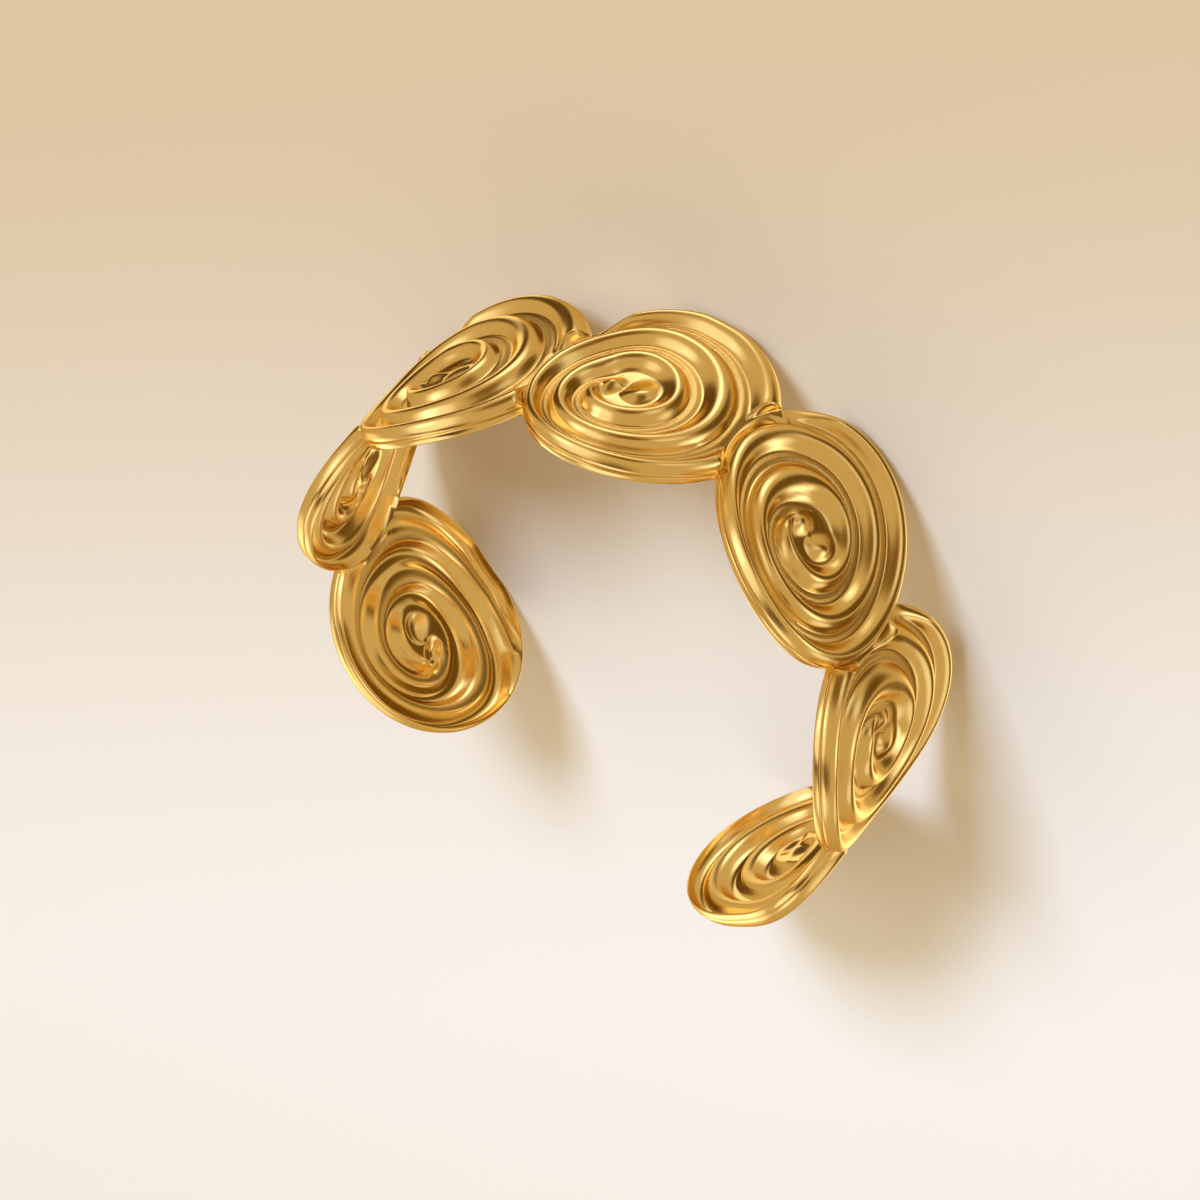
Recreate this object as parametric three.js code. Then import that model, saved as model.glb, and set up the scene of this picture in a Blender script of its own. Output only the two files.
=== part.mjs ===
// Spiral bangle: an open cuff pressed from one sheet, a chain of seven overlapping oval discs,
// each raised in a spiral coil. It lies on its side: the wrist axis is Z, the middle disc faces -Y
// and the gap that the wrist passes faces +Y. Millimetres.
// The sheet is laid out flat first, as s (along the cuff, from the middle disc towards -X) and
// z (across it), and is then bent round the wrist path, with the relief h pointing outwards.
import * as THREE from "three";

// ---- driving sizes ---------------------------------------------------------------------------
const SHEET = 0.9; // thickness of the pressed sheet
const RELIEF = 1.4; // height of a coil's crest over its groove
const GOLD = { color: 0xc9973b, roughness: 0.28, metalness: 1.0 };

// The wrist path, end to end: each arc's end station, its radius and the slight bend in degrees
// that follows it, where the sheet is narrowest between two discs.
const PATH_START = -90;
const BEND_LENGTH = 1.6;
const ARCS = [
  { end: -55, radius: 30.0, bend: 1.6 },
  { end: -33, radius: 29.3, bend: 3.5 },
  { end: -11, radius: 30.4, bend: -2.5 },
  { end: 11, radius: 30.6, bend: -1.0 },
  { end: 33, radius: 32.2, bend: -0.9 },
  { end: 55, radius: 33.5, bend: 3.4 },
  { end: 92, radius: 36.4, bend: 0 },
];

// The discs: centre (s, z), mean radius, how oval they are and at what angle the long axis lies,
// how much of a three-cornered form they have and where a corner points, and the place of the
// coil's eye from the centre. Angles run from +s towards +z.
const DISCS = [
  { s: -67.4, z: 12.3, radius: 13.2, oval: 0.083, ovalAt: 18, corner: 0.02, cornerAt: 11, eyeS: -2.4, eyeZ: 1.6 },
  { s: -43.4, z: 14.4, radius: 12.5, oval: 0.063, ovalAt: -42, corner: 0.024, cornerAt: 55, eyeS: -2.2, eyeZ: 1.6 },
  { s: -22.0, z: 14.7, radius: 13.0, oval: 0.018, ovalAt: -12, corner: 0.02, cornerAt: -43, eyeS: -2.6, eyeZ: 0.9 },
  { s: 0.0, z: 13.0, radius: 12.6, oval: 0.093, ovalAt: -56, corner: 0.004, cornerAt: 19, eyeS: -2.9, eyeZ: 1.4 },
  { s: 22.3, z: 13.4, radius: 13.05, oval: 0.057, ovalAt: 48, corner: 0.004, cornerAt: 56, eyeS: -0.9, eyeZ: 1.5 },
  { s: 46.7, z: 15.1, radius: 14.1, oval: 0.055, ovalAt: -32, corner: 0.004, cornerAt: -30, eyeS: -0.9, eyeZ: 0.6 },
  { s: 73.9, z: 13.2, radius: 13.3, oval: 0.199, ovalAt: -29, corner: 0.06, cornerAt: 38, eyeS: -0.8, eyeZ: -0.4 },
];
const ON_TOP = [1, 2, 3, 4, 4, 5]; // of each pair of neighbours, the disc whose rim runs unbroken

// The coil, all as parts of the radius: how deep its second turn steps in behind the tip of the
// first, and from where and over what part of a turn; how far each further turn goes in; a further
// step near the eye; and how far all turns lie to one side, at an angle on from the tip.
const COIL = { turns: 3, tipAt: 212, tipTurn: 0.08, step: 0.14, stepFrom: -0.1, stepTurn: 0.14, pitch: 0.3 };
const EYE = { step: 0.15, from: 1.65, over: 0.35 };
// The eye's two round knobs, which curl about each other: their height as a part of the relief, how
// far out they lie and their size as parts of the radius, their place as a part of a turn on from the
// tip, how much they curl, and where the turns give way to them.
const KNOB = { height: 0.52, out: 0.14, size: 0.17, turn: 0.45, twist: 3, from: 0.36, over: 0.17 };
const SWAY = { size: 0.095, at: 75, from: 1.75, over: 0.4 };
// A coil's section from the foot of its outer flank (0) to the foot of the next one in (1).
const SECTION = [
  { across: 0, height: 0.07 },
  { across: 0.17, height: 0.74 },
  { across: 0.4, height: 1.0 },
  { across: 0.75, height: 0.12 },
  { across: 1, height: 0.08 },
];
const RAYS = { seam: 6, free: 31 }; // facets along a shared arc, and round a whole disc
const RIM_HOLD = 4; // how quickly the turns forget the rim's own form
// How the relief of a lower disc runs out at the upper one, in parts of the radius: over what depth
// the net of points draws together there, and over what depth the relief falls.
const SEAM = { draw: 0.12, fall: 0.07 };
const SLIM = 0.2; // a coil narrower than this gets lower as it narrows

// ---- the wrist path --------------------------------------------------------------------------
const rad = THREE.MathUtils.degToRad;
const smooth = (u) => THREE.MathUtils.smoothstep(u, 0, 1);

// Stations every quarter millimetre, each with its point and heading, turned so that station 0
// lies at the origin and heads towards -X.
function wristPath() {
  const step = 0.25;
  const stations = [];
  let heading = 0;
  const turnRate = (s) => {
    const arc = ARCS.find((a) => s <= a.end) ?? ARCS[ARCS.length - 1];
    const bends = ARCS.map((a) => (rad(a.bend) * Math.exp(-(((s - a.end) / BEND_LENGTH) ** 2))) /
      (BEND_LENGTH * Math.sqrt(Math.PI)));
    return 1 / arc.radius + bends.reduce((sum, b) => sum + b, 0);
  };
  for (let s = PATH_START; s <= ARCS[ARCS.length - 1].end; s += step) {
    stations.push({ s, heading });
    heading += turnRate(s + step / 2) * step;
  }
  const middle = stations[Math.round(-PATH_START / step)].heading;
  let x = 0;
  let y = 0;
  for (const st of stations) {
    st.heading = Math.PI - (st.heading - middle);
    st.x = x;
    st.y = y;
    x += Math.cos(st.heading) * step;
    y += Math.sin(st.heading) * step;
  }
  const origin = { ...stations[Math.round(-PATH_START / step)] };
  for (const st of stations) {
    st.x -= origin.x;
    st.y -= origin.y;
  }
  return stations;
}
const PATH = wristPath();

// The point of the bent sheet at station s and height z, h millimetres out from its middle face.
function onCuff(s, z, h) {
  const u = (s - PATH_START) / (PATH[1].s - PATH[0].s);
  const i = Math.min(Math.max(Math.floor(u), 0), PATH.length - 2);
  const f = u - i;
  const [a, b] = [PATH[i], PATH[i + 1]];
  const heading = a.heading + (b.heading - a.heading) * f;
  const x = a.x + (b.x - a.x) * f - Math.sin(heading) * h;
  const y = a.y + (b.y - a.y) * f + Math.cos(heading) * h;
  return [x, y, z];
}

// ---- the flat layout of the discs ------------------------------------------------------------
function rimRadius(disc, angle) {
  return disc.radius * (1 + disc.oval * Math.cos(2 * (angle - rad(disc.ovalAt))) +
    disc.corner * Math.cos(3 * (angle - rad(disc.cornerAt))));
}

// A rim point; the lowest stretch is filed flat where the cuff stands on it.
function rimPoint(disc, angle) {
  const r = rimRadius(disc, angle);
  return { s: disc.s + r * Math.cos(angle), z: Math.max(disc.z + r * Math.sin(angle), 0) };
}
const angleOn = (disc, p) => Math.atan2(p.z - disc.z, p.s - disc.s);
const isInside = (disc, p) =>
  Math.hypot(p.s - disc.s, p.z - disc.z) < rimRadius(disc, angleOn(disc, p));

// The two points where the upper disc's rim enters and leaves the lower disc.
function crossings(upper, lower) {
  const found = [];
  const steps = 720;
  const at = (i) => isInside(lower, rimPoint(upper, (2 * Math.PI * i) / steps));
  for (let i = 0; i < steps; i++) {
    if (at(i) === at(i + 1)) continue;
    let [a, b] = [i, i + 1];
    for (let k = 0; k < 40; k++) {
      const m = (a + b) / 2;
      if (at(m) === at(a)) a = m;
      else b = m;
    }
    found.push((2 * Math.PI * a) / steps);
  }
  return found.sort((a, b) => rimPoint(upper, a).z - rimPoint(upper, b).z);
}

// Points from one angle of a disc's rim to another, the short way for a shared arc.
function rimRun(disc, from, to, count) {
  return Array.from({ length: count + 1 }, (_, i) => rimPoint(disc, from + ((to - from) * i) / count));
}
const turnTo = (from, to) => from + (((to - from) % (2 * Math.PI)) + 2 * Math.PI) % (2 * Math.PI);

// The arc that two neighbours share, from its notch at low z to its notch at high z.
function sharedArc(i) {
  const upper = DISCS[ON_TOP[i]];
  const lower = DISCS[ON_TOP[i] === i ? i + 1 : i];
  const [low, high] = crossings(upper, lower);
  const to = Math.abs(turnTo(low, high) - low) < Math.PI ? turnTo(low, high) : turnTo(low, high) - 2 * Math.PI;
  return rimRun(upper, low, to, RAYS.seam);
}
const SEAMS = ON_TOP.map((_, i) => sharedArc(i));

// One disc's whole rim, anticlockwise from the tip of its coil, which lies in the notch with the
// disc before it.
function discRim(i) {
  const disc = DISCS[i];
  const before = SEAMS[i - 1];
  const after = SEAMS[i];
  const run = (from, to) => {
    const end = turnTo(from, to);
    const count = Math.max(3, Math.round((RAYS.free * (end - from)) / (2 * Math.PI)));
    return rimRun(disc, from, end, count);
  };
  const start = before ? angleOn(disc, before[0]) : rad(COIL.tipAt);
  const last = before ? angleOn(disc, before[RAYS.seam]) : start + 2 * Math.PI - 1e-9;
  const rim = [];
  if (after) {
    rim.push(...run(start, angleOn(disc, after[0])).slice(0, -1), ...after.slice(0, -1));
    rim.push(...run(angleOn(disc, after[RAYS.seam]), last).slice(0, -1));
  } else {
    rim.push(...run(start, last).slice(0, -1));
  }
  if (before) rim.push(...[...before].reverse().slice(0, -1));
  if (before) rim[0] = before[0];
  if (after) rim[rim.findIndex((p) => p === after[0])] = after[0];
  return rim;
}

// ---- the coil's relief -----------------------------------------------------------------------
// How far in from the rim, as a part of the radius, the coil's outer foot lies after T turns.
function footDepth(T) {
  const step = COIL.step * smooth((T - 1 - COIL.stepFrom) / COIL.stepTurn);
  const on = Math.max(T - 1, 0);
  const sway = SWAY.size * (Math.cos(2 * Math.PI * on - rad(SWAY.at)) - Math.cos(rad(SWAY.at)));
  return step + COIL.pitch * on +
    EYE.step * smooth((on - EYE.from) / EYE.over) +
    sway * (1 - smooth((on - SWAY.from) / SWAY.over));
}

function sectionHeight(across) {
  const k = SECTION.findIndex((p, i) => i > 0 && across <= p.across);
  const [a, b] = k < 0 ? SECTION.slice(-2) : [SECTION[k - 1], SECTION[k]];
  return a.height + (b.height - a.height) * Math.min(1, (across - a.across) / (b.across - a.across));
}

// The knobs' height at a depth in from the rim and a part of a turn on from the tip.
function knobHeight(depth, turn) {
  const out = 1 - depth;
  const angle = 2 * Math.PI * (turn - KNOB.turn) + KNOB.twist * out;
  const [x, y] = [out * Math.cos(angle), out * Math.sin(angle)];
  const away = Math.min(Math.hypot(x - KNOB.out, y), Math.hypot(x + KNOB.out, y));
  return KNOB.height * (1 - smooth(away / KNOB.size));
}

// The relief at a depth in from the rim and a part of a turn on from the tip.
function relief(depth, turn) {
  let T = turn;
  while (footDepth(T + 1) <= depth && T < 6) T += 1;
  const outer = footDepth(T);
  const inner = footDepth(T + 1);
  const across = inner > outer ? Math.max(0, depth - outer) / (inner - outer) : 0;
  const tip = smooth(T / COIL.tipTurn);
  const slim = Math.min(1, (inner - outer) / SLIM);
  const coil = slim * sectionHeight(across);
  const inside = smooth((KNOB.from - 1 + depth) / KNOB.over);
  return RELIEF * tip * (coil + (knobHeight(depth, turn) - coil) * inside);
}

// ---- one disc's net of points ----------------------------------------------------------------
// Rays run from the eye to each rim point; the lines across them follow the coil, so that a line
// that leaves the last ray comes in again on the first one a turn further in.
function discNet(i) {
  const disc = DISCS[i];
  const eye = { s: disc.s + disc.eyeS, z: disc.z + disc.eyeZ };
  const rim = discRim(i);
  const n = rim.length;
  const angles = rim.map((p) => Math.atan2(p.z - eye.z, p.s - eye.s));
  for (let j = 1; j < n; j++) angles[j] = turnTo(angles[j - 1], angles[j]);
  const reach = rim.map((p) => Math.hypot(p.s - eye.s, p.z - eye.z));
  const own = ownReach(disc, eye, angles).map((r, j) => (r > reach[j] + 0.03 ? r : reach[j]));
  const body = smoothReach(angles, own, 2);
  const m = SECTION.length - 1;
  const lines = COIL.turns * m;
  const eyeDepth = footDepth(COIL.turns);
  const points = [];
  const id = [];
  for (let j = 0; j < n; j++) {
    const turn = (angles[j] - angles[0]) / (2 * Math.PI);
    const cut = coverDepth(reach[j], own[j], body[j]);
    const drawn = cut + SEAM.draw;
    id.push([]);
    for (let L = 0; L <= lines; L++) {
      if (j === 0 && L > 0 && L <= m) {
        id[j].push(id[j][0]);
        continue;
      }
      const k = Math.min(Math.floor(L / m), COIL.turns - 1);
      const across = SECTION[L - k * m].across;
      const outer = Math.min(footDepth(k + turn), eyeDepth);
      const inner = Math.min(footDepth(k + 1 + turn), eyeDepth);
      const even = L === 0 ? 0 : outer + (inner - outer) * across;
      const depth = even < drawn ? cut + (even * SEAM.draw) / drawn : even;
      const r = outAt(depth, own[j], body[j]);
      const fall = cut > 0 ? smooth((depth - cut) / Math.min(cut, SEAM.fall)) : 1;
      id[j].push(points.length);
      points.push({
        s: L === 0 ? rim[j].s : eye.s + r * Math.cos(angles[j]),
        z: L === 0 ? rim[j].z : eye.z + r * Math.sin(angles[j]),
        h: L === 0 ? 0 : relief(depth + 1e-6, turn) * fall,
      });
    }
  }
  const centre = points.length;
  points.push({ s: eye.s, z: eye.z, h: RELIEF * knobHeight(1, 0) });
  const at = (j, L) => (j < n ? id[j][L] : id[0][Math.min(L + m, lines)]);
  const faces = [];
  for (let j = 0; j < n; j++) {
    for (let L = 0; L < lines; L++) {
      const [a, b, c, d] = [at(j, L), at(j + 1, L), at(j + 1, L + 1), at(j, L + 1)];
      if (a !== b && b !== c && c !== a) faces.push([a, b, c]);
      if (a !== c && c !== d && d !== a) faces.push([a, c, d]);
    }
    faces.push([at(j, lines), at(j + 1, lines), centre]);
  }
  return { points, faces, rim };
}

// How far the disc's own whole rim lies from the eye at each angle, also under an upper disc.
function ownReach(disc, eye, angles) {
  const rim = rimRun(disc, 0, 2 * Math.PI, 360).slice(0, -1);
  const seen = rim.map((p) => ({
    angle: turnTo(angles[0], Math.atan2(p.z - eye.z, p.s - eye.s)),
    reach: Math.hypot(p.s - eye.s, p.z - eye.z),
  })).sort((a, b) => a.angle - b.angle);
  const last = seen[seen.length - 1];
  const around = [{ ...last, angle: last.angle - 2 * Math.PI }, ...seen,
    { ...seen[0], angle: seen[0].angle + 2 * Math.PI }];
  return angles.map((angle) => {
    const k = Math.max(1, around.findIndex((p) => p.angle > angle));
    const [a, b] = [around[k - 1], around[k]];
    return a.reach + ((b.reach - a.reach) * (angle - a.angle)) / (b.angle - a.angle);
  });
}

// How far from the eye a point lies at a depth in from the disc's own rim. The rim's own form dies
// away inwards and leaves the plainer form of the body.
const outAt = (depth, own, body) =>
  (1 - depth) * body + (own - body) * (1 - depth) ** RIM_HOLD;

// The depth at which an upper disc's rim covers this one, 0 where the rim is the disc's own.
function coverDepth(reach, own, body) {
  if (own === reach) return 0;
  let depth = 1 - reach / own;
  for (let k = 0; k < 4; k++) depth += (outAt(depth, own, body) - reach) / own;
  return depth;
}

// The reach without its sharper waves: its mean and first few waves round the eye.
function smoothReach(angles, reach, waves) {
  const n = angles.length;
  const part = angles.map((_, j) => {
    const next = j + 1 < n ? angles[j + 1] : angles[0] + 2 * Math.PI;
    const prev = j > 0 ? angles[j - 1] : angles[n - 1] - 2 * Math.PI;
    return ((next - prev) / (4 * Math.PI)) * reach[j];
  });
  const mean = part.reduce((sum, w) => sum + w, 0);
  const result = angles.map(() => mean);
  for (let k = 1; k <= waves; k++) {
    for (const wave of [Math.cos, Math.sin]) {
      const size = 2 * part.reduce((sum, w, j) => sum + w * wave(k * angles[j]), 0);
      angles.forEach((a, j) => {
        result[j] += size * wave(k * a);
      });
    }
  }
  return result;
}

// ---- the cuff --------------------------------------------------------------------------------
// All discs joined into one closed skin: the outer face, the inner face one sheet further in, and
// the rim between them wherever a rim facet belongs to one disc alone.
function cuffGeometry() {
  const position = [];
  const index = [];
  const known = new Map();
  const put = (p, back) => {
    const key = `${Math.round(p.s * 1e4)},${Math.round(p.z * 1e4)},${back}`;
    if (!known.has(key)) {
      known.set(key, position.length / 3);
      position.push(...onCuff(p.s, p.z, p.h - (back ? SHEET : 0)));
    }
    return known.get(key);
  };
  const rims = new Map();
  DISCS.forEach((_, i) => {
    const { points, faces, rim } = discNet(i);
    const front = points.map((p) => put(p, false));
    const back = points.map((p) => put(p, true));
    for (const [a, b, c] of faces) {
      index.push(front[a], front[c], front[b], back[a], back[b], back[c]);
    }
    rim.forEach((p, j) => {
      const q = rim[(j + 1) % rim.length];
      const ends = [p, q].map((e) => [put({ ...e, h: 0 }, false), put({ ...e, h: 0 }, true)]);
      const key = [ends[0][0], ends[1][0]].sort((u, v) => u - v).join();
      rims.set(key, rims.has(key) ? null : ends);
    });
  });
  for (const ends of rims.values()) {
    if (!ends) continue;
    const [[a, a2], [b, b2]] = ends;
    index.push(a, b, a2, b, b2, a2);
  }
  const geometry = new THREE.BufferGeometry();
  geometry.setAttribute("position", new THREE.Float32BufferAttribute(position, 3));
  geometry.setIndex(index);
  geometry.computeVertexNormals();
  return geometry;
}

const bangle = new THREE.Group();
const cuff = new THREE.Mesh(cuffGeometry(), new THREE.MeshStandardMaterial(GOLD));
cuff.name = "spiral_cuff";
cuff.geometry.computeBoundingBox();
const middle = cuff.geometry.boundingBox.getCenter(new THREE.Vector3());
cuff.position.set(-middle.x, -middle.y, 0); // the origin is the middle of the cuff, on the surface
bangle.add(cuff);

export default bangle;
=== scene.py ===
"""Spiral bangle, the visual model.

An open cuff pressed from one sheet: seven overlapping oval discs in a chain, each raised in a
spiral coil, gold plated, satin on the coils and polished in the grooves and on the rims.
The sheet is laid out flat in millimetres, as s along the cuff and z across it, and is bent round
the wrist path with its relief h pointing outwards. One class lays out the discs, one bends the
path, one gives the coil its section, and the cuff puts them together.
"""

import logging
import math
from dataclasses import dataclass, field
from enum import Enum
from typing import Any

import bpy
import numpy as np
from mathutils import Matrix

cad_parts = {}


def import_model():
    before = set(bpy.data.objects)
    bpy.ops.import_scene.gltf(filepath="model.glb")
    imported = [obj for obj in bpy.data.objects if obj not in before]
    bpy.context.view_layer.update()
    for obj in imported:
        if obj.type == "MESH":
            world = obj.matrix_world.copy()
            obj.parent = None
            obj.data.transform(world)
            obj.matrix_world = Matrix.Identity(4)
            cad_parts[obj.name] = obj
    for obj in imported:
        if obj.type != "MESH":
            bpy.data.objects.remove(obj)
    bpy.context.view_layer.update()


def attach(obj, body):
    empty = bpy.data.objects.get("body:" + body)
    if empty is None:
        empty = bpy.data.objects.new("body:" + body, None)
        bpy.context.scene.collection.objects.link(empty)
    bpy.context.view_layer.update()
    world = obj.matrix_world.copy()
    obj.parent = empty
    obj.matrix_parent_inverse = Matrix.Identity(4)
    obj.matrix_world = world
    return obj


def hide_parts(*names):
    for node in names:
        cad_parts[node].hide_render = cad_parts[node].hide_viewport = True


log = logging.getLogger("spiral_bangle")
MM = 0.001
TAU = 2 * math.pi
ROUND_STEPS = 720  # steps of a fine scan round a disc
WELD_STEPS = 2000  # steps to the millimetre that welding tells apart


# ---- small tools ------------------------------------------------------------------------------
def smooth(u: np.ndarray) -> np.ndarray:
    """Smoothstep: 3u^2 - 2u^3, with u held between 0 and 1."""
    u = np.clip(u, 0.0, 1.0)
    return u * u * (3 - 2 * u)


def rounded_line(x: np.ndarray, xs: np.ndarray, ys: np.ndarray) -> np.ndarray:
    """A smooth line through table points that never overshoots them.

    Cubic Hermite pieces whose slope at a point is the harmonic mean of its neighbours' slopes,
    or 0 where these differ in sign.

    Args:
        x: Places to read, any shape.
        xs: The table's places, rising.
        ys: The table's values.

    Returns:
        The value at each place.
    """
    step = np.diff(xs)
    slope = np.diff(ys) / step
    tangent = np.zeros_like(ys)
    a, b = slope[:-1], slope[1:]
    same = a * b > 0
    tangent[1:-1][same] = 2 * a[same] * b[same] / (a[same] + b[same])
    x = np.clip(x, xs[0], xs[-1])
    k = np.clip(np.searchsorted(xs, x, side="right") - 1, 0, len(xs) - 2)
    t = (x - xs[k]) / step[k]
    h = step[k]
    return (ys[k] * (1 + 2 * t) * (1 - t) ** 2 + tangent[k] * h * t * (1 - t) ** 2
            + ys[k + 1] * t * t * (3 - 2 * t) + tangent[k + 1] * h * t * t * (t - 1))


def linear(hex_colour: str) -> tuple[float, float, float, float]:
    """An sRGB hex colour as linear RGBA.

    Args:
        hex_colour: Six hex digits, such as "C9973B".

    Returns:
        Red, green, blue and alpha, linear.
    """
    parts = [int(hex_colour[i:i + 2], 16) / 255 for i in (0, 2, 4)]
    rgb = [c / 12.92 if c <= 0.04045 else ((c + 0.055) / 1.055) ** 2.4 for c in parts]
    return (rgb[0], rgb[1], rgb[2], 1.0)


def add_node(tree: bpy.types.NodeTree, kind: str, links: dict[Any, Any] | None = None,
             values: dict[Any, Any] | None = None, **settings: Any) -> bpy.types.Node:
    """Adds one shader node with its settings, values and incoming links.

    Args:
        tree: The node tree it goes into.
        kind: The node's type name.
        links: Input name or index to the output socket that feeds it.
        values: Input name or index to a plain value.
        settings: The node's own settings.

    Returns:
        The new node.
    """
    node = tree.nodes.new(kind)
    for name, value in settings.items():
        setattr(node, name, value)
    for key, value in (values or {}).items():
        node.inputs[key].default_value = value
    for key, socket in (links or {}).items():
        tree.links.new(socket, node.inputs[key])
    return node


# ---- the wrist path ---------------------------------------------------------------------------
@dataclass(frozen=True)
class Arc:
    """One arc of the wrist path: its end station, its radius and the bend in degrees after it."""

    end: float
    radius: float
    bend: float


@dataclass
class WristPath:
    """The line that the flat sheet is bent along, seen along the wrist axis."""

    start: float = -90.0
    bend_length: float = 1.6
    arcs: tuple[Arc, ...] = (
        Arc(-55, 30.0, 1.6), Arc(-33, 29.3, 3.5), Arc(-11, 30.4, -2.5), Arc(11, 30.6, -1.0),
        Arc(33, 32.2, -0.9), Arc(55, 33.5, 3.4), Arc(92, 36.4, 0.0))
    step: float = 0.25
    stations: np.ndarray = field(init=False)
    heading: np.ndarray = field(init=False)
    line: np.ndarray = field(init=False)

    def __post_init__(self) -> None:
        """Adds up the turn rate to a heading and the heading to a line.

        The rate is 1 / radius plus a bell for each bend; station 0 is at the origin, towards -X.
        """
        ends = np.array([a.end for a in self.arcs])
        radii = np.array([a.radius for a in self.arcs])
        bends = np.radians([a.bend for a in self.arcs])
        s = np.arange(self.start, ends[-1] + self.step / 2, self.step)
        mid = s + self.step / 2
        arc = np.clip(np.searchsorted(ends, mid), 0, len(ends) - 1)
        bell = np.exp(-((mid[:, None] - ends) / self.bend_length) ** 2) / (
            self.bend_length * math.sqrt(math.pi))
        rate = 1 / radii[arc] + bell @ bends
        turned = np.concatenate([[0.0], np.cumsum(rate[:-1] * self.step)])
        self.stations = s
        self.heading = math.pi - (turned - np.interp(0.0, s, turned))
        ahead = np.stack([np.cos(self.heading), np.sin(self.heading)], 1) * self.step
        line = np.concatenate([[[0.0, 0.0]], np.cumsum(ahead[:-1], 0)])
        self.line = line - line[np.argmin(abs(s))]

    def bend(self, s: np.ndarray, z: np.ndarray, h: np.ndarray) -> np.ndarray:
        """Bends points of the flat sheet.

        Args:
            s: Stations along the cuff.
            z: Heights across it.
            h: How far out from the path each point stands.

        Returns:
            Points (n, 3) in millimetres, the path's point plus h along its outward normal.
        """
        heading = np.interp(s, self.stations, self.heading)
        x = np.interp(s, self.stations, self.line[:, 0]) - np.sin(heading) * h
        y = np.interp(s, self.stations, self.line[:, 1]) + np.cos(heading) * h
        return np.stack([x, y, z], -1)


# ---- the discs --------------------------------------------------------------------------------
@dataclass(frozen=True)
class Disc:
    """One oval disc of the flat sheet. Angles run in degrees from +s towards +z."""

    s: float
    z: float
    radius: float
    oval: float
    oval_at: float
    corner: float
    corner_at: float
    eye_s: float
    eye_z: float

    @property
    def eye(self) -> np.ndarray:
        """The coil's eye as (s, z)."""
        return np.array([self.s + self.eye_s, self.z + self.eye_z])

    def rim_radius(self, angle: np.ndarray) -> np.ndarray:
        """The mean radius with a two-fold oval wave and a three-fold corner wave."""
        return self.radius * (1 + self.oval * np.cos(2 * (angle - math.radians(self.oval_at)))
                              + self.corner * np.cos(3 * (angle - math.radians(self.corner_at))))

    def rim(self, angle: np.ndarray) -> np.ndarray:
        """The rim, flat at z = 0 where the cuff rests.

        Args:
            angle: Angles (n,) from the disc's centre, in radians.

        Returns:
            Points (n, 2) as s and z.
        """
        r = self.rim_radius(angle)
        return np.stack([self.s + r * np.cos(angle),
                         np.maximum(self.z + r * np.sin(angle), 0.0)], -1)

    def angle_of(self, point: np.ndarray) -> np.ndarray:
        """The angle from the disc's centre to each point."""
        return np.arctan2(point[..., 1] - self.z, point[..., 0] - self.s)

    def own_reach(self, angle: np.ndarray) -> np.ndarray:
        """How far the whole rim lies from the eye, also where an upper disc covers it.

        Args:
            angle: Angles from the eye, in radians.

        Returns:
            The reach in millimetres at each angle.
        """
        away = self.rim(np.linspace(0, TAU, ROUND_STEPS, endpoint=False)) - self.eye
        return np.interp(angle, np.arctan2(away[:, 1], away[:, 0]),
                         np.hypot(away[:, 0], away[:, 1]), period=TAU)

    def holds(self, point: np.ndarray) -> np.ndarray:
        """Whether each point lies inside the rim."""
        away = np.hypot(point[..., 0] - self.s, point[..., 1] - self.z)
        return away < self.rim_radius(self.angle_of(point))


class Side(Enum):
    """The two faces of the sheet."""

    OUTER = "outer"
    INNER = "inner"


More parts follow.
